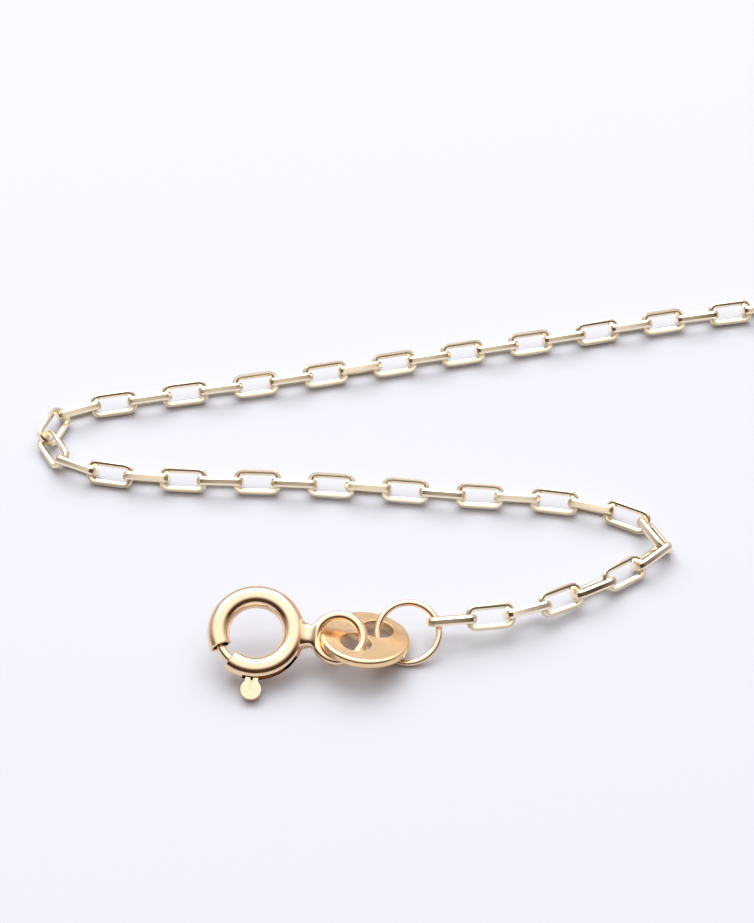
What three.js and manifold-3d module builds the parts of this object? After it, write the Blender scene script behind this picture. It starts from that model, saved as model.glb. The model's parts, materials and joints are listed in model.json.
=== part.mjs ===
// A fine gold cable necklace, unfastened and laid on a table: diamond-cut eight-sided links,
// a bolt ring with its sprung bolt, an oval tag, a jump ring and the plain ring at the far end.
// Millimetres, +Z up. The origin is on the table, under the middle of the whole necklace.
import * as THREE from "three";
import { mergeVertices } from "three/addons/utils/BufferGeometryUtils.js";
import Module from "manifold-3d";

const wasm = await Module();
wasm.setup();

// Whole necklace
const necklaceLength = 400;
const shownLinks = 48;

// One link, and how far two links' wires are let into each other where they bear
const linkPitch = 2.45;
const linkWidth = 1.62;
const linkWireWide = 0.54;
const linkWireThick = 0.37;
const linkWireRidge = 0.14;
const linkCorner = 0.45;
const linkBite = 0.035;
const linkLength = linkPitch + 2 * linkWireThick - linkBite;
const linkRoll = 45;

// Clearance between pieces that move on each other, and between the jump ring and the first link
const play = 0.05;
const jumpPlay = 0.08;

// Jump ring, and where on it the first link pulls
const jumpRadius = 1.92;
const jumpWire = 0.42;
const jumpTilt = 28.7;
const jumpSway = -4.7;
const jumpHookAngle = 21;
const jumpTagAngle = 178;

// Plain ring at the far end
const endRadius = 1.7;
const endWire = 0.5;
const endTilt = 25;
const roundSides = 14;
const roundWireSides = 6;

// Oval tag with a hole at each end
const tagLength = 5.7;
const tagWidth = 5.2;
const tagThick = 0.52;
const tagHole = 1.94;
const tagHoleSpacing = 2.24;
const tagTilt = -14;
const tagSway = 8.7;
const tagTurn = 52.4;
const tagSides = 22;
const tagHoleSides = 12;
const tagDrop = 0.09;

// Bolt ring: a bent tube with a gap, closed by a bolt that slides inside it
const tubeRadius = 2.32;
const tubeThick = 1.4;
const tubeWall = 0.18;
const tubeSides = 10;
const boreSides = 6;
const gapStart = 203;
const gapEnd = 230;
const cutPast = 1;
const ringTilt = 24;
const ringSway = 1.5;
const boreEnd = 342;
const socketDepth = 16;

// Its neck and the small fixed loop
const neckLength = 0.29;
const neckWide = 1;
const neckFlare = 1.7;
const neckThick = 0.8;
const neckTurn = -3.3;
const loopRadius = 1.475;
const loopWire = 0.6;
const loopTagAngle = -26;
const loopTagInset = 0.36;
const loopTagRise = 0;

// The bolt: its wire, its trigger, and how far it slides
const boltWire = 0.56;
const boltTail = 280;
const boltEntry = 3;
const boltTravel = 50;
const triggerAngle = 266;
const triggerRound = 1.28;
const triggerThick = 0.46;
const triggerStem = 0.8;
const triggerSlit = 0.13;
const triggerSlitDepth = 0.62;
const triggerGap = 0.05;
const triggerSides = 14;
const slotPlay = 0.12;
const slotEndPlay = 1.5;

// The route of the chain on the table, from the jump ring to where the hidden part begins,
// then the turn that the hidden part makes in one plain arc
const route = [
  [3.71, -15.42], [8.4, -14.62], [13.1, -12.15], [17.1, -9.4], [18.66, -7.5], [17.0, -5.66],
  [12.79, -4.05], [5.4, -3.22], [-4.39, -2.2], [-14.1, -1.7], [-18.89, -0.97], [-21.25, 0.3],
  [-22.25, 2.3], [-21.35, 4.6], [-16.9, 5.96], [-7.3, 7.95], [2.3, 10.2], [11.8, 12.4],
  [21.3, 14.7], [28.5, 16.1],
];
const hiddenTurn = 270;
const settleLength = 14;
const pathStep = 0.1;
const arcStep = 20;

const fullTurn = 360;
const rad = THREE.MathUtils.degToRad;
const up = new THREE.Vector3(0, 0, 1);
const polar = (radius, degrees) => [radius * Math.cos(rad(degrees)), radius * Math.sin(rad(degrees))];

// A closed body from its vertices and faces; each face lists three corners or more
function body(vertices, faces) {
  const geometry = new THREE.BufferGeometry();
  geometry.setAttribute("position", new THREE.Float32BufferAttribute(vertices.flat(), 3));
  geometry.setIndex(faces.flatMap((f) => f.slice(2).flatMap((_, k) => [f[0], f[k + 1], f[k + 2]])));
  return geometry;
}

// Faces that join each station of a section to the next
function skin(stations, sides, closed) {
  const faces = [];
  for (let k = 0; k < (closed ? stations : stations - 1); k += 1) {
    const a = k * sides;
    const b = ((k + 1) % stations) * sides;
    for (let s = 0; s < sides; s += 1) {
      const t = (s + 1) % sides;
      faces.push([a + s, b + s, b + t, a + t]);
    }
  }
  return faces;
}

// A wire bent to a closed flat loop. The outline is its outer face, run anticlockwise, and each
// point of the section is [how far in from that face, height above the loop's plane].
function wireLoop(outline, section) {
  const count = outline.length;
  const stations = outline.map(([x, y], k) => {
    const [px, py] = outline[(k + count - 1) % count];
    const [nx, ny] = outline[(k + 1) % count];
    const before = new THREE.Vector2(x - px, y - py).normalize();
    const after = new THREE.Vector2(nx - x, ny - y).normalize();
    const inward = new THREE.Vector2(-before.y - after.y, before.x + after.x).normalize();
    inward.multiplyScalar(1 / Math.sqrt((1 + before.dot(after)) / 2));
    return section.map(([depth, height]) => [x + inward.x * depth, y + inward.y * depth, height]);
  });
  return body(stations.flat(), skin(count, section.length, true));
}

function roundSection(diameter, sides) {
  return Array.from({ length: sides }, (_, s) => polar(diameter / 2, (fullTurn * (s + 0.5)) / sides));
}

function roundRing(radius, wire) {
  const outer = radius + wire / 2;
  const outline = Array.from({ length: roundSides }, (_, k) => polar(outer, (fullTurn * k) / roundSides));
  return wireLoop(outline, roundSection(wire, roundWireSides).map(([out, high]) => [wire / 2 - out, high]));
}

// A bar bent along an arc about the origin, with flat ends; its section is [outward, height]
function bentBar(section, radius, fromAngle, toAngle) {
  const steps = Math.max(1, Math.ceil((toAngle - fromAngle) / arcStep));
  const sides = section.length;
  const vertices = [];
  for (let k = 0; k <= steps; k += 1) {
    const angle = fromAngle + ((toAngle - fromAngle) * k) / steps;
    vertices.push(...section.map(([out, high]) => [...polar(radius + out, angle), high]));
  }
  const first = Array.from({ length: sides }, (_, s) => s);
  const last = first.map((s) => steps * sides + sides - 1 - s);
  return body(vertices, [first, ...skin(steps + 1, sides, false), last]);
}

// A flat plate from a shape in the XY plane, half its thickness above and half below
function plate(shape, thick) {
  const geometry = new THREE.ExtrudeGeometry(shape, { depth: thick, bevelEnabled: false });
  return geometry.translate(0, 0, -thick / 2);
}

function ovalPoints(halfLength, halfWidth, sides, centreX = 0) {
  return Array.from({ length: sides }, (_, k) => {
    const [x, y] = polar(1, (fullTurn * (k + 0.5)) / sides);
    return new THREE.Vector2(centreX + x * halfLength, y * halfWidth);
  });
}

function solidOf(geometry, matrix = new THREE.Matrix4()) {
  const bare = new THREE.BufferGeometry();
  bare.setAttribute("position", geometry.attributes.position.clone());
  bare.setIndex(geometry.index);
  const merged = mergeVertices(bare.applyMatrix4(matrix), 1e-5);
  return new wasm.Manifold(new wasm.Mesh({
    numProp: 3,
    vertProperties: new Float32Array(merged.attributes.position.array),
    triVerts: new Uint32Array(merged.index.array),
  }));
}

function geometryOf(solid) {
  const mesh = solid.getMesh();
  const geometry = new THREE.BufferGeometry();
  geometry.setAttribute("position", new THREE.BufferAttribute(mesh.vertProperties, 3));
  geometry.setIndex(new THREE.BufferAttribute(mesh.triVerts, 1));
  return geometry;
}

// The turn of a flat piece: tilted up at its far side, swayed about its upward line, then spun
function leaning(tilt, sway = 0, spin = 0) {
  const matrix = new THREE.Matrix4().makeRotationX(rad(tilt));
  matrix.multiply(new THREE.Matrix4().makeRotationY(rad(sway)));
  return matrix.multiply(new THREE.Matrix4().makeRotationZ(rad(spin)));
}

// A point of a leaning piece, seen from its centre
function pointOn(lean, x, y, z = 0) {
  return new THREE.Vector3(x, y, z).applyMatrix4(lean);
}

// How far below its centre a leaning ring of round wire reaches
function reachBelow(lean, radius, wire) {
  const upright = lean.elements[10];
  return radius * Math.sqrt(1 - upright * upright) + wire / 2;
}

// One link, lying flat along X: an oblong with its corners cut, of a wire that is flat outside,
// where it is diamond cut, and ridged inside
function linkGeometry() {
  const x = linkLength / 2;
  const y = linkWidth / 2;
  const c = linkCorner;
  const outline = [
    [x, c - y], [x, y - c], [x - c, y], [c - x, y],
    [-x, y - c], [-x, c - y], [c - x, -y], [x - c, -y],
  ];
  const half = linkWireWide / 2;
  const flank = linkWireThick - linkWireRidge;
  return wireLoop(outline, [[0, half], [flank, half], [linkWireThick, 0], [flank, -half], [0, -half]]);
}

// The clasp end, worked out from where the first link pulls on the jump ring
const hook = new THREE.Vector3(route[0][0], route[0][1], 0);
const jumpLean = leaning(jumpTilt, jumpSway);
const jumpCentre = hook.clone().sub(pointOn(jumpLean, ...polar(jumpRadius, jumpHookAngle)));
jumpCentre.z = reachBelow(jumpLean, jumpRadius, jumpWire);
hook.copy(jumpCentre).add(pointOn(jumpLean, ...polar(jumpRadius, jumpHookAngle)));

const tagLean = leaning(tagTilt, tagSway, tagTurn);
const tagCentre = jumpCentre.clone().add(pointOn(jumpLean, ...polar(jumpRadius, jumpTagAngle), -tagDrop));
tagCentre.add(pointOn(tagLean, -tagHoleSpacing / 2, 0));

const ringLean = leaning(ringTilt, ringSway);
const loopCentre = tagCentre.clone().add(pointOn(tagLean, -tagHoleSpacing / 2, 0));
loopCentre.sub(pointOn(ringLean, ...polar(loopRadius - loopTagInset, loopTagAngle), -loopTagRise));
const loopReach = tubeRadius + tubeThick / 2 + neckLength + loopWire / 2 + loopRadius;
const ringCentre = loopCentre.clone().sub(pointOn(ringLean, ...polar(loopReach, neckTurn)));

// The path of the chain's middle line: the shown route, then the hidden arc, sized to its length
const restHeight = (linkWidth * Math.sin(rad(linkRoll)) + linkWireWide * Math.cos(rad(linkRoll))) / 2;
const endHeight = endRadius * Math.sin(rad(endTilt)) + endWire / 2;
const claspLength = loopReach + tubeRadius + tubeThick / 2 + loopCentre.distanceTo(hook);
const endLength = 2 * endRadius + endWire;
const linkCount = Math.floor((necklaceLength - claspLength - endLength) / linkPitch);
const chainLength = linkCount * linkPitch;

// How far an end still lifts the chain: fully at the end itself, not at all beyond the settling length
function lift(distance) {
  const near = Math.max(0, 1 - distance / settleLength);
  return near * near * (3 - 2 * near);
}

function chainPath() {
  const curve = new THREE.CatmullRomCurve3(route.map(([x, y]) => new THREE.Vector3(x, y, 0)));
  const shownLength = curve.getLength();
  const points = curve.getSpacedPoints(Math.round(shownLength / pathStep));
  const radius = (chainLength - shownLength) / rad(hiddenTurn);
  const start = points.at(-1);
  const heading = start.clone().sub(points.at(-2)).normalize();
  const toCentre = heading.clone().cross(up).multiplyScalar(radius);
  const centre = start.clone().add(toCentre);
  const arcSteps = Math.ceil((chainLength - shownLength + linkPitch) / pathStep);
  for (let k = 1; k <= arcSteps; k += 1) {
    const turn = -(k * pathStep) / radius;
    points.push(centre.clone().sub(toCentre.clone().applyAxisAngle(up, turn)));
  }
  points.forEach((point, k) => {
    const atStart = (hook.z - restHeight) * lift(k * pathStep);
    const atEnd = (endHeight - restHeight) * lift(Math.abs(chainLength - k * pathStep));
    point.z = restHeight + atStart + atEnd;
  });
  return points;
}

// Where the links bear on each other: one pitch apart along the path, from a first point
function bearings(path, first, count) {
  const found = [first];
  let k = path.findIndex((point) => point.distanceTo(first) < linkPitch);
  while (found.length <= count) {
    const last = found.at(-1);
    while (path[k].distanceTo(last) < linkPitch) k += 1;
    const near = path[k - 1].distanceTo(last);
    const far = path[k].distanceTo(last);
    found.push(path[k - 1].clone().lerp(path[k], (linkPitch - near) / (far - near)));
  }
  return found;
}

// Every other link is rolled the other way about the chain's line
function linkPlace(from, to, index) {
  const along = to.clone().sub(from).normalize();
  const right = along.clone().cross(up).normalize();
  const lift = right.clone().cross(along);
  const roll = rad(index % 2 === 0 ? -linkRoll : linkRoll);
  const normal = lift.multiplyScalar(Math.cos(roll)).addScaledVector(right, Math.sin(roll));
  const across = normal.clone().cross(along);
  return new THREE.Matrix4().makeBasis(along, across, normal).setPosition(from.clone().lerp(to, 0.5));
}

function chainGeometry(points, firstIndex) {
  const link = linkGeometry();
  const links = points.slice(1).map((to, k) => solidOf(link, linkPlace(points[k], to, firstIndex + k)));
  return geometryOf(wasm.Manifold.union(links));
}

// The bolt ring's tube, bored from the gap to the spring's seat, with a socket for the bolt's tip,
// and slotted for the trigger; the neck and the fixed loop are soldered to it
function boltRingGeometry() {
  const bore = roundSection(tubeThick - 2 * tubeWall, boreSides);
  const slotHalf = triggerThick / 2 + slotPlay;
  const stemAngle = THREE.MathUtils.radToDeg(Math.asin(triggerStem / 2 / tubeRadius)) + slotEndPlay;
  const slot = [[0, -slotHalf], [tubeThick, -slotHalf], [tubeThick, slotHalf], [0, slotHalf]];
  const cuts = [
    bentBar(bore, tubeRadius, gapEnd - cutPast, boreEnd),
    bentBar(bore, tubeRadius, gapStart - socketDepth, gapStart + cutPast),
    bentBar(slot, tubeRadius, triggerAngle - stemAngle, triggerAngle + boltTravel + stemAngle),
  ];
  const tube = solidOf(bentBar(roundSection(tubeThick, tubeSides), tubeRadius, gapEnd, gapStart + fullTurn));
  const neckStart = tubeRadius + tubeThick / 2 - tubeWall;
  const neckEnd = loopReach - loopRadius;
  const neckMiddle = (neckStart + neckEnd) / 2;
  const neck = new THREE.Shape([
    [neckStart, -neckFlare / 2], [neckMiddle, -neckWide / 2], [neckEnd, -neckWide / 2],
    [neckEnd, neckWide / 2], [neckMiddle, neckWide / 2], [neckStart, neckFlare / 2],
  ].map(([x, y]) => new THREE.Vector2(x, y)));
  const turned = new THREE.Matrix4().makeRotationZ(rad(neckTurn));
  const loopPlace = new THREE.Matrix4().makeTranslation(...polar(loopReach, neckTurn), 0);
  const hollow = cuts.reduce((solid, cut) => solid.subtract(solidOf(cut)), tube);
  const ring = hollow.add(solidOf(plate(neck, neckThick), turned));
  return geometryOf(ring.add(solidOf(roundRing(loopRadius, loopWire), loopPlace)));
}

// The bolt at rest, closing the gap: a bent wire, and the slit thumb piece on its stem
function boltGeometry() {
  const wire = bentBar(roundSection(boltWire, boreSides), tubeRadius, gapStart - boltEntry, boltTail);
  const thumbCentre = tubeRadius + tubeThick / 2 + triggerGap + triggerRound / 2;
  const openHalf = Math.asin(triggerStem / triggerRound);
  const thumb = new THREE.Shape();
  thumb.moveTo(tubeRadius, -triggerStem / 2);
  for (let k = 0; k <= triggerSides; k += 1) {
    const angle = -Math.PI + openHalf + ((2 * Math.PI - 2 * openHalf) * k) / triggerSides;
    thumb.lineTo(thumbCentre + (triggerRound / 2) * Math.cos(angle), (triggerRound / 2) * Math.sin(angle));
  }
  thumb.lineTo(tubeRadius, triggerStem / 2);
  const slitStart = tubeRadius + boltWire / 2 + play;
  const slitEnd = thumbCentre + triggerRound * (triggerSlitDepth - 0.5);
  const slitHalf = triggerSlit / 2;
  thumb.holes.push(new THREE.Path([
    [slitStart, slitHalf], [slitEnd, slitHalf], [slitEnd, -slitHalf], [slitStart, -slitHalf],
  ].map(([x, y]) => new THREE.Vector2(x, y))));
  const turned = new THREE.Matrix4().makeRotationZ(rad(triggerAngle));
  return geometryOf(solidOf(wire).add(solidOf(plate(thumb, triggerThick), turned)));
}

function tagGeometry() {
  const shape = new THREE.Shape(ovalPoints(tagLength / 2, tagWidth / 2, tagSides));
  for (const centreX of [-tagHoleSpacing / 2, tagHoleSpacing / 2]) {
    shape.holes.push(new THREE.Path(ovalPoints(tagHole / 2, tagHole / 2, tagHoleSides, centreX)));
  }
  return plate(shape, tagThick);
}

const gold = new THREE.MeshStandardMaterial({ color: 0xd9b36a, metalness: 1, roughness: 0.22 });
const satinGold = new THREE.MeshStandardMaterial({ color: 0xcfa868, metalness: 1, roughness: 0.42 });
const paleGold = new THREE.MeshStandardMaterial({ color: 0xe2cfa0, metalness: 1, roughness: 0.16 });

const group = new THREE.Group();
const laid = new THREE.Group();
group.add(laid);

function addPiece(name, geometry, material, centre, lean) {
  const mesh = new THREE.Mesh(geometry, material);
  mesh.name = name;
  if (centre) mesh.position.copy(centre);
  if (lean) mesh.quaternion.setFromRotationMatrix(lean);
  laid.add(mesh);
}

addPiece("bolt_ring", boltRingGeometry(), gold, ringCentre, ringLean);
addPiece("bolt", boltGeometry(), gold, ringCentre, ringLean);
addPiece("tag", tagGeometry(), satinGold, tagCentre, tagLean);
addPiece("jump_ring", roundRing(jumpRadius, jumpWire), gold, jumpCentre, jumpLean);

// The first link bears on the jump ring with its play, the second stretch on the first likewise
const path = chainPath();
const pull = path[Math.round(linkPitch / pathStep)].clone().sub(hook).normalize();
const first = hook.clone().addScaledVector(pull, -(jumpWire / 2 + jumpPlay + linkBite / 2));
const front = bearings(path, first, shownLinks);
const joint = front.at(-1).clone().lerp(front.at(-2), (linkBite + play) / linkPitch);
const back = bearings(path, joint, linkCount - shownLinks);
addPiece("chain_front", chainGeometry(front, 0), paleGold);
addPiece("chain_back", chainGeometry(back, shownLinks), paleGold);

// The end ring leans the other way from the last link, in a plane that runs along the chain
const tail = back.at(-1).clone().sub(back.at(-2)).setZ(0).normalize();
const endLean = new THREE.Matrix4().makeRotationZ(Math.atan2(tail.y, tail.x));
endLean.multiply(leaning(linkCount % 2 === 0 ? -endTilt : endTilt));
const endCentre = back.at(-1).clone().addScaledVector(tail, endRadius - endWire / 2 - play - linkBite / 2);
endCentre.z = reachBelow(endLean, endRadius, endWire);
addPiece("end_ring", roundRing(endRadius, endWire), gold, endCentre, endLean);

// The origin goes to the middle of the necklace, on the table
const bounds = new THREE.Box3().setFromObject(laid, true);
const middle = bounds.getCenter(new THREE.Vector3());
laid.position.set(-middle.x, -middle.y, -bounds.min.z);

export default group;
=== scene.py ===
"""A fine gold cable necklace, unfastened and laid in an S on a pale table.

The links, the clasp, the tag and the rings are made in millimetres, in the same layout as the
part's source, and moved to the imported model's frame when their meshes are made.
"""

import json
import math

import bmesh
import bpy
from mathutils import Matrix, Vector


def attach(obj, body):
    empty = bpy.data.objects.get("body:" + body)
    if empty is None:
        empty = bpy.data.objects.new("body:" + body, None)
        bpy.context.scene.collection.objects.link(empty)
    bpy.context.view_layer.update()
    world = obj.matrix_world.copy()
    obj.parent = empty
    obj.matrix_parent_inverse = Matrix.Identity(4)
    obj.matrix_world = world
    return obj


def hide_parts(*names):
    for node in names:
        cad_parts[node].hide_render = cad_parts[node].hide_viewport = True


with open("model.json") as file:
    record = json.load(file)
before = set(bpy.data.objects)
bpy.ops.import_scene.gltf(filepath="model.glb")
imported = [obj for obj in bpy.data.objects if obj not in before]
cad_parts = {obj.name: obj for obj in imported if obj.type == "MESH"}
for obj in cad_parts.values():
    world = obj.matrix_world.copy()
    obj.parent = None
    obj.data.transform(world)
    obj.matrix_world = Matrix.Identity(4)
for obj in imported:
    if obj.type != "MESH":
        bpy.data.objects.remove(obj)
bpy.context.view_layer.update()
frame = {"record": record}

MM = 0.001

# The necklace and its links
NECKLACE_LENGTH = 400
SHOWN_LINKS = 48
LINK_PITCH = 2.45
LINK_WIDTH = 1.62
LINK_WIRE_WIDE = 0.52
LINK_WIRE_THICK = 0.37
LINK_CORNER_ROUND = 0.6
LINK_CORNER_STEPS = 3
LINK_BITE = 0.035
LINK_LENGTH = LINK_PITCH + 2 * LINK_WIRE_THICK - LINK_BITE
LINK_ROLL = 45
LINK_ROLL_SPREAD = 5
CHAIN_SEED = 7
PLAY = 0.05
JUMP_PLAY = 0.08

# Half the link wire's section: shares of its thickness, from the outside in, and of its half width
LINK_SECTION = [(0, 0.5), (0.26, 1), (0.56, 1), (0.66, 0.95), (1, 0.6)]

# Jump ring and end ring
JUMP_RADIUS = 1.92
JUMP_WIRE = 0.42
JUMP_LEAN = (28.7, -4.7, 0)
JUMP_HOOK_ANGLE = 21
JUMP_TAG_ANGLE = 178
END_RADIUS = 1.7
END_WIRE = 0.5
END_TILT = 25

# Tag
TAG_LENGTH = 5.92
TAG_WIDTH = 5.4
TAG_THICK = 0.58
TAG_HOLE = 1.94
TAG_HOLE_SPACING = 2.24
TAG_LEAN = (-14, 8.7, 52.4)
TAG_DROP = 0.09
TAG_SHIFT = -0.11
TAG_ROUND = 0.2
TAG_HOLE_ROUND = 0.04
TAG_SIDES = 128
TAG_HOLE_SIDES = 64
TAG_EDGE_STEPS = 5

# Bolt ring
TUBE_RADIUS = 2.32
TUBE_THICK = 1.4
TUBE_WALL = 0.18
TUBE_SIDES = 40
TUBE_LIP = 0.05
LIP_INSIDE = 1
LIP_OUTSIDE = 1.2
GAP_START = 203
GAP_END = 230
BORE_END = 342
SOCKET_DEPTH = 16
RING_LEAN = (24, 1.5, 0)
NECK_LENGTH = 0.29
NECK_WIDE = 1.4
NECK_THICK = 1.1
NECK_TURN = -3.3
NECK_IN_TUBE = 0.3
NECK_IN_LOOP = 0.05
NECK_STATIONS = 16
NECK_SIDES = 32
NECK_SQUARENESS = 0.7

# How the neck swells at the ring, and spreads flatter from part of the way along towards the loop
RING_SWELL_FADE = 2.4
RING_SWELL_WIDER = 0.6
RING_SWELL_THICKER = 0.35
LOOP_SPREAD_FROM = 0.55
LOOP_SPREAD_RISE = 5
LOOP_SPREAD_WIDER = 0.5
LOOP_SPREAD_THINNER = 0.4

# The clasp's fixed loop
LOOP_RADIUS = 1.475
LOOP_WIRE = 0.6
LOOP_TAG_ANGLE = -26
LOOP_TAG_INSET = 0.36
LOOP_TAG_RISE = 0

# Bolt and its trigger
BOLT_WIRE = 0.56
BOLT_TAIL = 280
BOLT_ENTRY = 3
BOLT_TRAVEL = 50
TRIGGER_ANGLE = 266
TRIGGER_ROUND = 1.28
TRIGGER_THICK = 0.46
TRIGGER_STEM = 0.8
TRIGGER_SLIT = 0.13
TRIGGER_SLIT_DEPTH = 0.62
TRIGGER_GAP = 0.05
TRIGGER_EDGE = 0.03
FOLD_OVERLAP = 0.02
FOLD_LOW_INSET = 0.04
FOLD_HIGH_INSET = 0.25
SLOT_PLAY = 0.12
SLOT_END_PLAY = 1.5

# Points round the rings and wires, and the angles over which an edge is drawn sharp
RING_POINTS = 96
WIRE_SIDES = 20
SHARP = 35
LINK_SHARP = 28
PLATE_SHARP = 30

# The route of the chain on the table, as in the part's source
ROUTE = [
    (3.71, -15.42), (8.4, -14.62), (13.1, -12.15), (17.1, -9.4), (18.66, -7.5), (17.0, -5.66),
    (12.79, -4.05), (5.4, -3.22), (-4.39, -2.2), (-14.1, -1.7), (-18.89, -0.97), (-21.25, 0.3),
    (-22.25, 2.3), (-21.35, 4.6), (-16.9, 5.96), (-7.3, 7.95), (2.3, 10.2), (11.8, 12.4),
    (21.3, 14.7), (28.5, 16.1),
]
HIDDEN_TURN = 270
SETTLE_LENGTH = 14
PATH_STEP = 0.1
SPLINE_STEPS = 60

# The camera, in the layout of the photo's middle
CAMERA_PLACE = (0, -122.43, 114.91)
CAMERA_ELEVATION = 43
CAMERA_LENS = 98.1
CAMERA_SENSOR = 36

# The table and the window's soft light, in metres
TABLE_HALF = 2
TABLE_THICK = 0.05
WINDOW_OFFSET = (-0.06, 0.33, 0.45)
WINDOW_SIZE = (0.75, 0.5)
WINDOW_POWER = 2.95
WINDOW_COLOUR = (0.93, 0.965, 1.0)

# The room's light from the horizon (0) to straight overhead (1), before and behind the necklace
ROOM_STRENGTH = 1.3
FRONT_ROOM = [
    (0.0, (0.09, 0.055, 0.04)), (0.2, (0.05, 0.03, 0.022)), (0.53, (0.06, 0.037, 0.028)),
    (0.63, (0.26, 0.22, 0.2)), (0.7, (0.44, 0.41, 0.41)), (0.8, (0.72, 0.68, 0.68)),
    (0.88, (1, 0.99, 0.99)),
]
BACK_ROOM = [
    (0.0, (0.28, 0.23, 0.24)), (0.25, (0.52, 0.47, 0.48)), (0.5, (0.54, 0.49, 0.5)),
    (0.68, (1, 0.99, 0.99)),
]

UP = Vector((0, 0, 1))


def polar(radius, degrees, height=0.0):
    angle = math.radians(degrees)
    return Vector((radius * math.cos(angle), radius * math.sin(angle), height))


def leaning(tilt, sway=0, spin=0):
    """The turn of a flat piece: tilted, swayed, then spun."""
    turn = Matrix.Rotation(math.radians(tilt), 4, "X")
    turn = turn @ Matrix.Rotation(math.radians(sway), 4, "Y")
    return turn @ Matrix.Rotation(math.radians(spin), 4, "Z")


def reach_below(lean, radius, wire):
    upright = lean[2][2]
    return radius * math.sqrt(1 - upright * upright) + wire / 2


# Where each piece lies, worked out from where the first link pulls on the jump ring
jump_lean = leaning(*JUMP_LEAN)
jump_hook = jump_lean @ polar(JUMP_RADIUS, JUMP_HOOK_ANGLE)
jump_centre = Vector((*ROUTE[0], 0)) - jump_hook
jump_centre.z = reach_below(jump_lean, JUMP_RADIUS, JUMP_WIRE)
hook = jump_centre + jump_hook

tag_lean = leaning(*TAG_LEAN)
tag_centre = jump_centre + jump_lean @ polar(JUMP_RADIUS, JUMP_TAG_ANGLE, -TAG_DROP)
tag_centre += tag_lean @ Vector((-TAG_HOLE_SPACING / 2, 0, 0))

ring_lean = leaning(*RING_LEAN)
loop_centre = tag_centre + tag_lean @ Vector((-TAG_HOLE_SPACING / 2, 0, 0))
loop_centre -= ring_lean @ polar(LOOP_RADIUS - LOOP_TAG_INSET, LOOP_TAG_ANGLE, -LOOP_TAG_RISE)
loop_reach = TUBE_RADIUS + TUBE_THICK / 2 + NECK_LENGTH + LOOP_WIRE / 2 + LOOP_RADIUS
ring_centre = loop_centre - ring_lean @ polar(loop_reach, NECK_TURN)

rest_height = (LINK_WIDTH + LINK_WIRE_WIDE) / 2 * math.sin(math.radians(LINK_ROLL))
end_height = END_RADIUS * math.sin(math.radians(END_TILT)) + END_WIRE / 2
clasp_length = loop_reach + TUBE_RADIUS + TUBE_THICK / 2 + (loop_centre - hook).length
link_count = math.floor((NECKLACE_LENGTH - clasp_length - 2 * END_RADIUS - END_WIRE) / LINK_PITCH)
chain_length = link_count * LINK_PITCH

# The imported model's origin, from the bolt's pivot, which is the bolt ring's centre
pivot = Vector(frame["record"]["behaviour"]["joints"][0]["pos_m"])
layout = Matrix.Translation(pivot) @ Matrix.Scale(MM, 4) @ Matrix.Translation(-ring_centre)


def spline_points(route):
    """A centripetal spline through the route, in points one step apart."""
    points = [Vector((x, y, 0)) for x, y in route]
    points = [2 * points[0] - points[1], *points, 2 * points[-1] - points[-2]]
    dense = [points[1]]
    for a, b, c, d in zip(points, points[1:], points[2:], points[3:]):
        before = (b - a).length ** 0.5
        span = (c - b).length ** 0.5
        after = (d - c).length ** 0.5
        leave = ((b - a) / before - (c - a) / (before + span) + (c - b) / span) * span
        reach = ((c - b) / span - (d - b) / (span + after) + (d - c) / after) * span
        for k in range(1, SPLINE_STEPS + 1):
            t = k / SPLINE_STEPS
            cubic = b + leave * t + (3 * (c - b) - 2 * leave - reach) * t**2
            dense.append(cubic + (2 * (b - c) + leave + reach) * t**3)
    total = sum((b - a).length for a, b in zip(dense, dense[1:]))
    count = round(total / PATH_STEP)
    spaced = [dense[0]]
    walked = 0.0
    for a, b in zip(dense, dense[1:]):
        step = (b - a).length
        while len(spaced) < count and walked + step >= total / count * len(spaced):
            spaced.append(a.lerp(b, (total / count * len(spaced) - walked) / step))
        walked += step
    spaced.append(dense[-1])
    return spaced, total


def lift(distance):
    """How far an end still lifts the chain: fully at the end, not at all beyond the settling length."""
    near = max(0, 1 - distance / SETTLE_LENGTH)
    return near * near * (3 - 2 * near)


def chain_path():
    points, shown = spline_points(ROUTE)
    radius = (chain_length - shown) / math.radians(HIDDEN_TURN)
    heading = (points[-1] - points[-2]).normalized()
    to_centre = heading.cross(UP) * radius
    centre = points[-1] + to_centre
    for k in range(1, math.ceil((chain_length - shown + LINK_PITCH) / PATH_STEP) + 1):
        points.append(centre - Matrix.Rotation(-k * PATH_STEP / radius, 3, "Z") @ to_centre)
    for k, point in enumerate(points):
        at_start = (hook.z - rest_height) * lift(k * PATH_STEP)
        at_end = (end_height - rest_height) * lift(abs(chain_length - k * PATH_STEP))
        point.z = rest_height + at_start + at_end
    return points


def bearings(path, first, count):
    """Where the links bear on each other, one pitch apart along the path."""
    found = [first]
    k = next(n for n, point in enumerate(path) if (point - first).length < LINK_PITCH)
    while len(found) <= count:
        while (path[k] - found[-1]).length < LINK_PITCH:
            k += 1
        near = (path[k - 1] - found[-1]).length
        far = (path[k] - found[-1]).length
        found.append(path[k - 1].lerp(path[k], (LINK_PITCH - near) / (far - near)))
    return found


class Value:
    """A node's output. Sums, differences, products and remainders of values add Math nodes."""

    def __init__(self, graph, made, output):
        self.graph = graph
        self.made = made
        self.output = output

    @property
    def socket(self):
        return self.made.outputs[self.output]

    def out(self, output):
        return Value(self.graph, self.made, output)

    def maths(self, operation, *others):
        return self.graph.node("ShaderNodeMath", {"operation": operation}, dict(enumerate((self, *others))))

    def __add__(self, other):
        return self.maths("ADD", other)

    def __mul__(self, other):
        return self.maths("MULTIPLY", other)

    def __sub__(self, other):
        return self.maths("SUBTRACT", other)

    def __mod__(self, other):
        return self.maths("FLOORED_MODULO", other)


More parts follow.
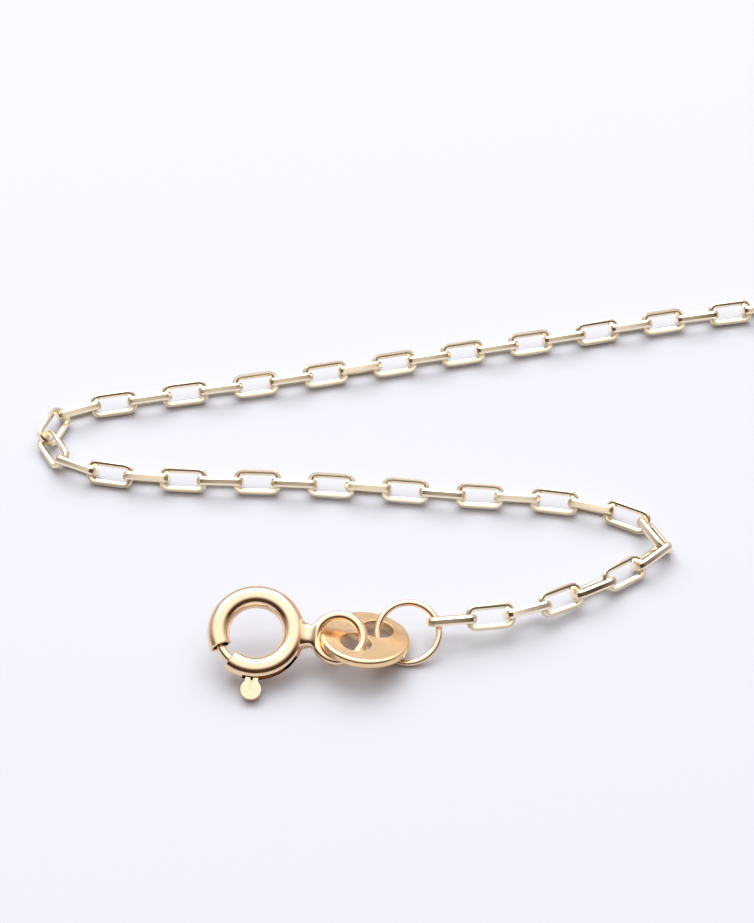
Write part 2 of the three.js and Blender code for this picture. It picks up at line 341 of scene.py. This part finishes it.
class Graph:
    """A node tree, to which nodes are added with their settings, then their inputs."""

    def __init__(self, tree):
        self.tree = tree

    def node(self, kind, settings=None, inputs=None, output=0):
        made = self.tree.nodes.new(kind)
        for key, setting in (settings or {}).items():
            if key == "stops":
                ramp = made.color_ramp.elements
                while len(ramp) < len(setting):
                    ramp.new(0.5)
                for element, (place, colour) in zip(ramp, setting):
                    element.position = place
                    element.color = (*colour, 1)
            elif key == "capture":
                made.capture_items.new(*setting)
            else:
                setattr(made, key, setting)
        for key, value in (inputs or {}).items():
            if isinstance(value, Value):
                self.tree.links.new(value.socket, made.inputs[key])
            else:
                made.inputs[key].default_value = value
        return Value(self, made, output)


def new_graph(owner):
    """The emptied node tree of a material or a world."""
    owner.use_nodes = True
    owner.node_tree.nodes.clear()
    return Graph(owner.node_tree)


def finish_surface(graph, inputs):
    shader = graph.node("ShaderNodeBsdfPrincipled", None, inputs)
    graph.node("ShaderNodeOutputMaterial", None, {"Surface": shader})


def noise(graph, place, per_mm, detail=2.0, stretch=None, turn=(0, 0, 0)):
    """Noise on object coordinates, so many features to the millimetre."""
    scale = Vector(stretch or (1, 1, 1)) * per_mm / MM
    mapped = graph.node("ShaderNodeMapping", {"vector_type": "TEXTURE"}, {"Vector": place, "Rotation": turn})
    mapped = graph.node("ShaderNodeVectorMath", {"operation": "MULTIPLY"}, {0: mapped, 1: scale})
    return graph.node("ShaderNodeTexNoise", None, {"Vector": mapped, "Scale": 1.0, "Detail": detail}, "Fac")


def mix_colour(graph, factor, first, second):
    settings = {"data_type": "RGBA", "clamp_factor": True}
    return graph.node("ShaderNodeMix", settings, {"Factor": factor, 6: first, 7: second}, 2)


def gold(name, bright, deep, roughness, spread, ripple, scratch, toned=False):
    """Polished gold: cloudy in colour, with fine wear in its gloss, soft ripples and hairlines.

    Toned gold also differs from link to link, and its brighter links have finer, deeper ripples.
    """
    material = bpy.data.materials.new(name)
    graph = new_graph(material)
    place = graph.node("ShaderNodeTexCoord", None, None, "Object")
    cloud = noise(graph, place, 0.5, 3.0)
    soft = noise(graph, place, 0.9, 1.0)
    if toned:
        tone = graph.node("ShaderNodeAttribute", {"attribute_name": "tone"}, None, "Fac")
        cut = (tone * 3.0 - 1.8).maths("MAXIMUM", 0.0)
        soft = soft + noise(graph, place, 7.0, 2.0) * cut * 0.7
        cloud = cloud * 0.4 + tone * 0.7 - 0.05
    wear = noise(graph, place, 3.0, 4.0)
    hair = noise(graph, place, 2.0, 2.0, stretch=(1, 9, 9), turn=(0.3, 0.2, 0.6))
    colour = mix_colour(graph, cloud, (*deep, 1), (*bright, 1))
    rough = wear * spread + hair * (spread * 0.6) + (roughness - spread * 0.8)
    waves = graph.node("ShaderNodeBump", None, {"Height": soft, "Distance": ripple * MM})
    lines = graph.node("ShaderNodeBump", None, {"Height": hair, "Distance": scratch * MM, "Normal": waves})
    inputs = {"Base Color": colour, "Metallic": 1.0, "Roughness": rough, "Normal": lines}
    finish_surface(graph, inputs)
    return material


def brushed_gold(name, bright, deep, roughness):
    """The tag's satin gold, brushed lengthwise with crossing hairlines."""
    material = bpy.data.materials.new(name)
    graph = new_graph(material)
    place = graph.node("ShaderNodeTexCoord", None, None, "Object")
    along = tag_lean.to_euler()
    grain = noise(graph, place, 1.2, 4.0, stretch=(1, 14, 6), turn=along)
    across = noise(graph, place, 1.5, 3.0, stretch=(12, 1, 5), turn=along)
    cloud = noise(graph, place, 0.6, 3.0)
    colour = mix_colour(graph, cloud * 0.6 + grain * 0.4, (*deep, 1), (*bright, 1))
    rough = grain * 0.14 + across * 0.08 + (roughness - 0.11)
    lines = graph.node("ShaderNodeBump", None, {"Height": grain + across * 0.5, "Distance": 0.009 * MM})
    inputs = {"Base Color": colour, "Metallic": 1.0, "Roughness": rough, "Normal": lines}
    finish_surface(graph, inputs)
    return material


def table_top(name):
    material = bpy.data.materials.new(name)
    graph = new_graph(material)
    inputs = {"Base Color": (0.648, 0.653, 0.705, 1), "Roughness": 0.45, "Specular IOR Level": 0.25}
    finish_surface(graph, inputs)
    return material


def piece_of(name, shell, place):
    """An object from a closed shell of vertices and faces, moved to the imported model's frame."""
    vertices, faces = shell
    matrix = layout @ place
    mesh = bpy.data.meshes.new(name)
    mesh.from_pydata([matrix @ Vector(v) for v in vertices], [], faces)
    finish_mesh(mesh, SHARP)
    return object_of(name, mesh)


def finish_mesh(mesh, sharp_over):
    """Turns the faces outwards, and shades them smooth but for the edges over an angle."""
    shell = bmesh.new()
    shell.from_mesh(mesh)
    bmesh.ops.recalc_face_normals(shell, faces=shell.faces)
    shell.to_mesh(mesh)
    shell.free()
    mesh.shade_smooth()
    mesh.set_sharp_from_angle(angle=math.radians(sharp_over))


def object_of(name, mesh):
    made = bpy.data.objects.new(name, mesh)
    bpy.context.scene.collection.objects.link(made)
    return made


def skin(rings, closed=False):
    """Vertices and faces that join each ring of points to the next, with flat ends if open."""
    sides = len(rings[0])
    faces = []
    for k in range(len(rings) if closed else len(rings) - 1):
        a = k * sides
        b = (k + 1) % len(rings) * sides
        faces += [(a + s, b + s, b + (s + 1) % sides, a + (s + 1) % sides) for s in range(sides)]
    if not closed:
        faces.append(tuple(range(sides)))
        faces.append(tuple(range(len(rings) * sides - 1, (len(rings) - 1) * sides - 1, -1)))
    return [point for ring in rings for point in ring], faces


def together(*shells):
    """Several closed shells as one list of vertices and faces."""
    vertices, faces = [], []
    for more_vertices, more_faces in shells:
        faces += [tuple(v + len(vertices) for v in face) for face in more_faces]
        vertices += more_vertices
    return vertices, faces


def round_at(radius, angle, thick, sides):
    """A ring of points round a bent wire, at an angle about the origin."""
    points = []
    for s in range(sides):
        out = polar(thick / 2, 360 * s / sides)
        points.append(polar(radius + out.x, angle, out.y))
    return points


def angles(start, end, step=4.0):
    count = max(1, math.ceil(abs(end - start) / step))
    return [start + (end - start) * k / count for k in range(count + 1)]


def round_ring(radius, wire, centre=(0, 0, 0)):
    rings = [round_at(radius, 360 * k / RING_POINTS, wire, WIRE_SIDES) for k in range(RING_POINTS)]
    vertices, faces = skin(rings, closed=True)
    return [Vector(centre) + v for v in vertices], faces


def rounded_oblong(half_length, half_width, radius):
    """An oblong with its corners rounded off in a few steps."""
    points = []
    for quarter in range(4):
        centre_x = (half_length - radius) * (1 if quarter in (0, 3) else -1)
        centre_y = (half_width - radius) * (1 if quarter in (0, 1) else -1)
        for k in range(LINK_CORNER_STEPS + 1):
            out = polar(radius, 90 * (quarter + k / LINK_CORNER_STEPS))
            points.append(Vector((centre_x + out.x, centre_y + out.y)))
    return points


def link_mesh():
    """One link, long in X and wide in Y: its wire's outer edges cut off, its inner side narrower."""
    thick, wide = LINK_WIRE_THICK, LINK_WIRE_WIDE / 2
    outer = rounded_oblong(LINK_LENGTH / 2, LINK_WIDTH / 2, LINK_CORNER_ROUND)
    inner = rounded_oblong(LINK_LENGTH / 2 - thick, LINK_WIDTH / 2 - thick, LINK_CORNER_ROUND - thick)
    section = LINK_SECTION + [(depth, -high) for depth, high in reversed(LINK_SECTION)]
    rings = []
    for out, within in zip(outer, inner):
        rings.append([(*out.lerp(within, depth), high * wide) for depth, high in section])
    vertices, faces = skin(rings, closed=True)
    mesh = bpy.data.meshes.new("link")
    mesh.from_pydata([Vector(v) * MM for v in vertices], [], faces)
    finish_mesh(mesh, LINK_SHARP)
    return mesh


def chain_tree():
    """Sets a link on each edge of a line of bearings, rolled one way and the other by turns."""
    tree = bpy.data.node_groups.new("interlocked_links", "GeometryNodeTree")
    sockets = {
        "Bearings": "NodeSocketGeometry", "Link": "NodeSocketObject", "First Link": "NodeSocketInt",
        "Roll": "NodeSocketFloat", "Roll Spread": "NodeSocketFloat", "Seed": "NodeSocketInt",
        "Gold": "NodeSocketMaterial",
    }
    for name, kind in sockets.items():
        tree.interface.new_socket(name, in_out="INPUT", socket_type=kind)
    tree.interface.new_socket("Chain", in_out="OUTPUT", socket_type="NodeSocketGeometry")
    graph = Graph(tree)
    given = graph.node("NodeGroupInput")
    ends = graph.node("GeometryNodeInputMeshEdgeVertices")
    inputs = {0: ends.out("Position 2"), 1: ends.out("Position 1")}
    along = graph.node("ShaderNodeVectorMath", {"operation": "SUBTRACT"}, inputs)
    settings = {"domain": "EDGE", "capture": ("VECTOR", "Along")}
    inputs = {"Geometry": given.out("Bearings"), "Along": along}
    captured = graph.node("GeometryNodeCaptureAttribute", settings, inputs)
    middles = graph.node("GeometryNodeMeshToPoints", {"mode": "EDGES"}, {"Mesh": captured.out("Geometry")})
    align = "FunctionNodeAlignRotationToVector"
    lying = graph.node(align, {"axis": "X"}, {"Vector": captured.out("Along")})
    settings = {"axis": "Z", "pivot_axis": "X"}
    level = graph.node(align, settings, {"Rotation": lying, "Vector": (0, 0, 1)})
    index = graph.node("GeometryNodeInputIndex")
    turn_about = ((index + given.out("First Link")) % 2.0) * 2.0 - 1.0
    spread = given.out("Roll Spread")
    inputs = {2: spread * -1.0, 3: spread, "Seed": given.out("Seed")}
    chance = graph.node("FunctionNodeRandomValue", {"data_type": "FLOAT"}, inputs, 1)
    roll = given.out("Roll") * turn_about + chance
    euler = graph.node("ShaderNodeCombineXYZ", None, {"X": roll})
    turned = graph.node("FunctionNodeEulerToRotation", None, {"Euler": euler})
    settings = {"rotation_space": "LOCAL"}
    rotation = graph.node("FunctionNodeRotateRotation", settings, {"Rotation": level, "Rotate By": turned})
    link = graph.node("GeometryNodeObjectInfo", None, {"Object": given.out("Link")}, "Geometry")
    inputs = {"Points": middles, "Instance": link, "Rotation": rotation}
    links = graph.node("GeometryNodeInstanceOnPoints", None, inputs)
    shade = graph.node("FunctionNodeRandomValue", {"data_type": "FLOAT"}, {"Seed": given.out("Seed") + 1}, 1)
    settings = {"data_type": "FLOAT", "domain": "INSTANCE"}
    inputs = {"Geometry": links, "Name": "tone", "Value": shade}
    toned = graph.node("GeometryNodeStoreNamedAttribute", settings, inputs)
    whole = graph.node("GeometryNodeRealizeInstances", None, {"Geometry": toned})
    dressed = graph.node("GeometryNodeSetMaterial", None, {"Geometry": whole, "Material": given.out("Gold")})
    graph.node("NodeGroupOutput", None, {"Chain": dressed})
    return tree


def plain_mesh(source, name):
    """The evaluated mesh of an object with modifiers, as a new object; the source goes."""
    graph = bpy.context.evaluated_depsgraph_get()
    mesh = bpy.data.meshes.new_from_object(source.evaluated_get(graph), depsgraph=graph)
    mesh.name = name
    bpy.data.objects.remove(source)
    return object_of(name, mesh)


def chain_piece(name, points, first_link, link, tree, material):
    """One stretch of the chain: a line of bearings, made into links and then into a plain mesh."""
    line = bpy.data.meshes.new(name + "_line")
    edges = [(k, k + 1) for k in range(len(points) - 1)]
    line.from_pydata([layout @ point for point in points], edges, [])
    source = object_of(name + "_line", line)
    modifier = source.modifiers.new("links", "NODES")
    modifier.node_group = tree
    values = {
        "Link": link, "First Link": first_link, "Roll": math.radians(LINK_ROLL),
        "Roll Spread": math.radians(LINK_ROLL_SPREAD), "Seed": CHAIN_SEED, "Gold": material,
    }
    for socket in tree.interface.items_tree:
        if socket.name in values:
            modifier[socket.identifier] = values[socket.name]
    return plain_mesh(source, name)


def tube_shell():
    """The bored tube as one closed shell: along its bore, round each lip and along the outside."""
    bore = TUBE_THICK - 2 * TUBE_WALL
    far_lip = GAP_START + 360
    lip_rounds = (bore + TUBE_LIP, TUBE_THICK - 2 * TUBE_LIP)

    def stretch(thick, start, end):
        return [round_at(TUBE_RADIUS, angle, thick, TUBE_SIDES) for angle in angles(start, end)]

    rings = stretch(bore, BORE_END, GAP_END + LIP_INSIDE)
    rings += [round_at(TUBE_RADIUS, GAP_END, thick, TUBE_SIDES) for thick in lip_rounds]
    rings += stretch(TUBE_THICK, GAP_END + LIP_OUTSIDE, far_lip - LIP_OUTSIDE)
    rings += [round_at(TUBE_RADIUS, far_lip, thick, TUBE_SIDES) for thick in reversed(lip_rounds)]
    rings += stretch(bore, far_lip - LIP_INSIDE, far_lip - SOCKET_DEPTH)
    return skin(rings)


def neck_shell():
    """The neck between the tube and the fixed loop, squarish in section."""
    start = TUBE_RADIUS + TUBE_THICK / 2 - NECK_IN_TUBE
    end = loop_reach - LOOP_RADIUS + NECK_IN_LOOP
    turn = Matrix.Rotation(math.radians(NECK_TURN), 3, "Z")
    stations = []
    for k in range(NECK_STATIONS + 1):
        t = k / NECK_STATIONS
        x = start + (end - start) * t
        at_ring = (1 - t) ** RING_SWELL_FADE
        at_loop = max(0, t - LOOP_SPREAD_FROM) ** 2 * LOOP_SPREAD_RISE
        wide = (NECK_WIDE + RING_SWELL_WIDER * at_ring + LOOP_SPREAD_WIDER * at_loop) / 2
        thick = (NECK_THICK + RING_SWELL_THICKER * at_ring - LOOP_SPREAD_THINNER * at_loop) / 2
        ring = []
        for s in range(NECK_SIDES):
            c, d = math.cos(math.tau * s / NECK_SIDES), math.sin(math.tau * s / NECK_SIDES)
            y = wide * math.copysign(abs(c) ** NECK_SQUARENESS, c)
            z = thick * math.copysign(abs(d) ** NECK_SQUARENESS, d)
            ring.append(turn @ Vector((x, y, z)))
        stations.append(ring)
    return skin(stations)


def slot_cutter():
    """What the trigger's slot cuts from the tube, over the trigger's whole travel."""
    half = TRIGGER_THICK / 2 + SLOT_PLAY
    stem = math.degrees(math.asin(TRIGGER_STEM / 2 / TUBE_RADIUS)) + SLOT_END_PLAY
    corners = [(0, -half), (TUBE_THICK, -half), (TUBE_THICK, half), (0, half)]
    rings = []
    for angle in angles(TRIGGER_ANGLE - stem, TRIGGER_ANGLE + BOLT_TRAVEL + stem):
        rings.append([polar(TUBE_RADIUS + out, angle, high) for out, high in corners])
    return skin(rings)


def trigger_outline():
    """The outline of the thumb piece: a disc on a stem, slit from the foot of the stem."""
    centre = TUBE_RADIUS + TUBE_THICK / 2 + TRIGGER_GAP + TRIGGER_ROUND / 2
    open_half = math.asin(TRIGGER_STEM / TRIGGER_ROUND)
    slit_end = centre + TRIGGER_ROUND * (TRIGGER_SLIT_DEPTH - 0.5)
    half_slit = TRIGGER_SLIT / 2
    outline = [Vector((TUBE_RADIUS, -TRIGGER_STEM / 2))]
    for angle in angles(-180 + math.degrees(open_half), 180 - math.degrees(open_half), 8):
        outline.append(Vector((centre, 0)) + polar(TRIGGER_ROUND / 2, angle).xy)
    outline.append(Vector((TUBE_RADIUS, TRIGGER_STEM / 2)))
    outline.append(Vector((TUBE_RADIUS, half_slit)))
    for angle in angles(90, -90, 30):
        outline.append(Vector((slit_end - half_slit, 0)) + polar(half_slit, angle).xy)
    outline.append(Vector((TUBE_RADIUS, -half_slit)))
    return outline


def trigger_fold():
    """The fold that closes the back of the trigger's slit, as a bar along the radius."""
    start = TUBE_RADIUS + TUBE_THICK / 2 + TRIGGER_GAP
    end = start + TRIGGER_ROUND * TRIGGER_SLIT_DEPTH
    half = TRIGGER_SLIT / 2 + FOLD_OVERLAP
    low = -TRIGGER_THICK / 2 + FOLD_LOW_INSET
    high = TRIGGER_THICK / 2 - FOLD_HIGH_INSET
    corners = [(-half, low), (half, low), (half, high), (-half, high)]
    return skin([[Vector((x, y, z)) for y, z in corners] for x in (start, end)])


def plate_mesh(name, outline, thick, rounding, place):
    """A flat plate within an outline, with rounded edges."""
    curve = bpy.data.curves.new(name, "CURVE")
    curve.dimensions = "2D"
    curve.fill_mode = "BOTH"
    spline = curve.splines.new("POLY")
    spline.points.add(len(outline) - 1)
    for point, (x, y) in zip(spline.points, outline):
        point.co = (x, y, 0, 1)
    spline.use_cyclic_u = True
    curve.extrude = thick / 2 - rounding
    curve.bevel_depth = rounding
    curve.bevel_resolution = 3
    curve.offset = -rounding
    flat = object_of(name + "_outline", curve)
    graph = bpy.context.evaluated_depsgraph_get()
    mesh = bpy.data.meshes.new_from_object(flat.evaluated_get(graph), depsgraph=graph)
    bpy.data.objects.remove(flat)
    mesh.transform(layout @ place)
    shell = bmesh.new()
    shell.from_mesh(mesh)
    bmesh.ops.remove_doubles(shell, verts=shell.verts, dist=1e-7)
    shell.to_mesh(mesh)
    shell.free()
    finish_mesh(mesh, PLATE_SHARP)
    mesh.name = name
    return mesh


def tag_mesh(place):
    """The oval plate: a broad rounded edge outside, a fine one in its two holes."""
    half = TAG_THICK / 2
    walls = []
    for centre, length, width, rounding, count in (
        (TAG_SHIFT, TAG_LENGTH / 2, TAG_WIDTH / 2, -TAG_ROUND, TAG_SIDES),
        (-TAG_HOLE_SPACING / 2, TAG_HOLE / 2, TAG_HOLE / 2, TAG_HOLE_ROUND, TAG_HOLE_SIDES),
        (TAG_HOLE_SPACING / 2, TAG_HOLE / 2, TAG_HOLE / 2, TAG_HOLE_ROUND, TAG_HOLE_SIDES),
    ):
        rings = []
        for upward in (1, -1):
            for k in range(TAG_EDGE_STEPS + 1):
                turn = math.radians(90 / TAG_EDGE_STEPS * (k if upward > 0 else TAG_EDGE_STEPS - k))
                step_in = rounding * (1 - math.sin(turn))
                high = upward * (half - abs(rounding) * (1 - math.cos(turn)))
                around = oval(length + step_in, width + step_in, count, centre)
                rings.append([(x, y, high) for x, y in around])
        vertices, faces = skin(rings)
        walls.append((vertices, faces[:-2]))
    vertices, faces = together(*walls)
    mesh = bpy.data.meshes.new("tag_plate")
    mesh.from_pydata([layout @ place @ Vector(v) for v in vertices], [], faces)
    shell = bmesh.new()
    shell.from_mesh(mesh)
    shell.verts.ensure_lookup_table()
    for high in (half, -half):
        level = {k for k, v in enumerate(vertices) if abs(v[2] - high) < 1e-6}
        rim = [e for e in shell.edges if e.is_boundary and {v.index for v in e.verts} <= level]
        bmesh.ops.triangle_fill(shell, use_beauty=True, edges=rim)
    shell.to_mesh(mesh)
    shell.free()
    finish_mesh(mesh, PLATE_SHARP)
    for face in mesh.polygons:
        face.use_smooth = len(face.vertices) > 3
    return mesh


def oval(half_length, half_width, count, centre):
    around = [math.tau * k / count for k in range(count)]
    return [(centre + half_length * math.cos(a), half_width * math.sin(a)) for a in around]


def dress(piece, node, body, slot, *materials):
    """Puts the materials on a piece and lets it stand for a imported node."""
    for material in materials:
        piece.data.materials.append(material)
    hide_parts(node)
    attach(piece, body)


chain_gold = gold(
    "pale_gold", bright=(1.0, 0.9, 0.7), deep=(0.95, 0.81, 0.57),
    roughness=0.2, spread=0.06, ripple=0.006, scratch=0.0012, toned=True,
)
clasp_gold = gold(
    "yellow_gold", bright=(1.0, 0.785, 0.56), deep=(0.95, 0.69, 0.44),
    roughness=0.07, spread=0.04, ripple=0.004, scratch=0.0010,
)
tag_gold = brushed_gold("satin_gold", bright=(0.99, 0.73, 0.44), deep=(0.91, 0.64, 0.35), roughness=0.19)

path = chain_path()
pull = (path[round(LINK_PITCH / PATH_STEP)] - hook).normalized()
first = hook - pull * (JUMP_WIRE / 2 + JUMP_PLAY + LINK_BITE / 2)
front = bearings(path, first, SHOWN_LINKS)
joint = front[-1].lerp(front[-2], (LINK_BITE + PLAY) / LINK_PITCH)
back = bearings(path, joint, link_count - SHOWN_LINKS)

link = object_of("one_link", link_mesh())
tree = chain_tree()
for name, points, first_link in (("chain_front", front, 0), ("chain_back", back, SHOWN_LINKS)):
    piece = chain_piece(name + "_links", points, first_link, link, tree, chain_gold)
    dress(piece, name, "necklace", "chain_gold")
bpy.data.objects.remove(link)

ring_place = Matrix.Translation(ring_centre) @ ring_lean
tube_body = piece_of("tube", tube_shell(), ring_place)
cutter = piece_of("slot", slot_cutter(), ring_place)
cut = tube_body.modifiers.new("slot", "BOOLEAN")
cut.operation = "DIFFERENCE"
cut.solver = "EXACT"
cut.object = cutter
clasp_tube = plain_mesh(tube_body, "clasp_tube")
bpy.data.objects.remove(cutter)
clasp_tube.data.shade_smooth()
clasp_tube.data.set_sharp_from_angle(angle=math.radians(SHARP))
dress(clasp_tube, "bolt_ring", "necklace", "clasp_gold", clasp_gold)

loop = round_ring(LOOP_RADIUS, LOOP_WIRE, polar(loop_reach, NECK_TURN))
clasp_loop = piece_of("clasp_loop", together(neck_shell(), loop), ring_place)
dress(clasp_loop, "bolt_ring", "necklace", "clasp_gold", clasp_gold)

wire_angles = angles(GAP_START - BOLT_ENTRY, BOLT_TAIL)
wire_rings = [round_at(TUBE_RADIUS, angle, BOLT_WIRE, WIRE_SIDES) for angle in wire_angles]
bolt_wire = piece_of("bolt_wire", skin(wire_rings), ring_place)
dress(bolt_wire, "bolt", "bolt", "clasp_gold", clasp_gold)
trigger_place = ring_place @ Matrix.Rotation(math.radians(TRIGGER_ANGLE), 4, "Z")
plate = plate_mesh("bolt_trigger", trigger_outline(), TRIGGER_THICK, TRIGGER_EDGE, trigger_place)
trigger = object_of("bolt_trigger", plate)
dress(trigger, "bolt", "bolt", "clasp_gold", clasp_gold)
fold = piece_of("bolt_fold", trigger_fold(), trigger_place)
dress(fold, "bolt", "bolt", "clasp_gold", clasp_gold)

tag_place = Matrix.Translation(tag_centre) @ tag_lean
tag = object_of("tag_plate", tag_mesh(tag_place))
dress(tag, "tag", "necklace", "tag_gold", tag_gold)

jump_place = Matrix.Translation(jump_centre) @ jump_lean
jump = piece_of("jump_wire", round_ring(JUMP_RADIUS, JUMP_WIRE), jump_place)
dress(jump, "jump_ring", "necklace", "clasp_gold", clasp_gold)

tail = (back[-1] - back[-2]).to_2d().normalized().to_3d()
end_lean = Matrix.Rotation(math.atan2(tail.y, tail.x), 4, "Z")
end_lean = end_lean @ leaning(-END_TILT if link_count % 2 == 0 else END_TILT)
end_centre = back[-1] + tail * (END_RADIUS - END_WIRE / 2 - PLAY - LINK_BITE / 2)
end_centre.z = reach_below(end_lean, END_RADIUS, END_WIRE)
end_place = Matrix.Translation(end_centre) @ end_lean
end = piece_of("end_wire", round_ring(END_RADIUS, END_WIRE), end_place)
dress(end, "end_ring", "necklace", "clasp_gold", clasp_gold)

# The table, the studio and the camera
table = bpy.data.meshes.new("table")
corners = [(x * TABLE_HALF, y * TABLE_HALF) for x, y in ((-1, -1), (1, -1), (1, 1), (-1, 1))]
vertices, faces = skin([[(x, y, z) for x, y in corners] for z in (-TABLE_THICK, 0)])
table.from_pydata(vertices, [], faces)
finish_mesh(table, PLATE_SHARP)
table.materials.append(table_top("table_top"))
object_of("table", table)


def softbox(name, place, aim, size, power, colour):
    light = bpy.data.lights.new(name, "AREA")
    light.shape = "RECTANGLE"
    light.size, light.size_y = size
    light.energy = power
    light.color = colour
    box = bpy.data.objects.new(name, light)
    box.location = place
    box.rotation_euler = (Vector(aim) - Vector(place)).to_track_quat("-Z", "Y").to_euler()
    bpy.context.scene.collection.objects.link(box)


middle = layout @ Vector((0, 0, 0))
window_place = middle + Vector(WINDOW_OFFSET)
softbox("window", window_place, middle, WINDOW_SIZE, WINDOW_POWER, WINDOW_COLOUR)

world = bpy.data.worlds.new("studio")
studio = new_graph(world)
direction = studio.node("ShaderNodeTexCoord", None, None, "Generated")
parts = studio.node("ShaderNodeSeparateXYZ", None, {"Vector": direction})
height = parts.out("Z")
front_side = studio.node("ShaderNodeValToRGB", {"stops": FRONT_ROOM}, {"Fac": height})
back_side = studio.node("ShaderNodeValToRGB", {"stops": BACK_ROOM}, {"Fac": height})
facing = parts.out("Y") * 1.4 + 0.5
room = mix_colour(studio, facing, front_side, back_side)
sky = studio.node("ShaderNodeBackground", None, {"Color": room, "Strength": ROOM_STRENGTH})
studio.node("ShaderNodeOutputWorld", None, {"Surface": sky})
bpy.context.scene.world = world

view = bpy.data.cameras.new("camera")
view.lens = CAMERA_LENS
view.sensor_width = CAMERA_SENSOR
view.clip_start = 0.01
camera = bpy.data.objects.new("camera", view)
camera.location = layout @ Vector(CAMERA_PLACE)
camera.rotation_euler = (math.radians(90 - CAMERA_ELEVATION), 0, 0)
bpy.context.scene.collection.objects.link(camera)
bpy.context.scene.camera = camera
bpy.context.scene.view_settings.view_transform = "Standard"
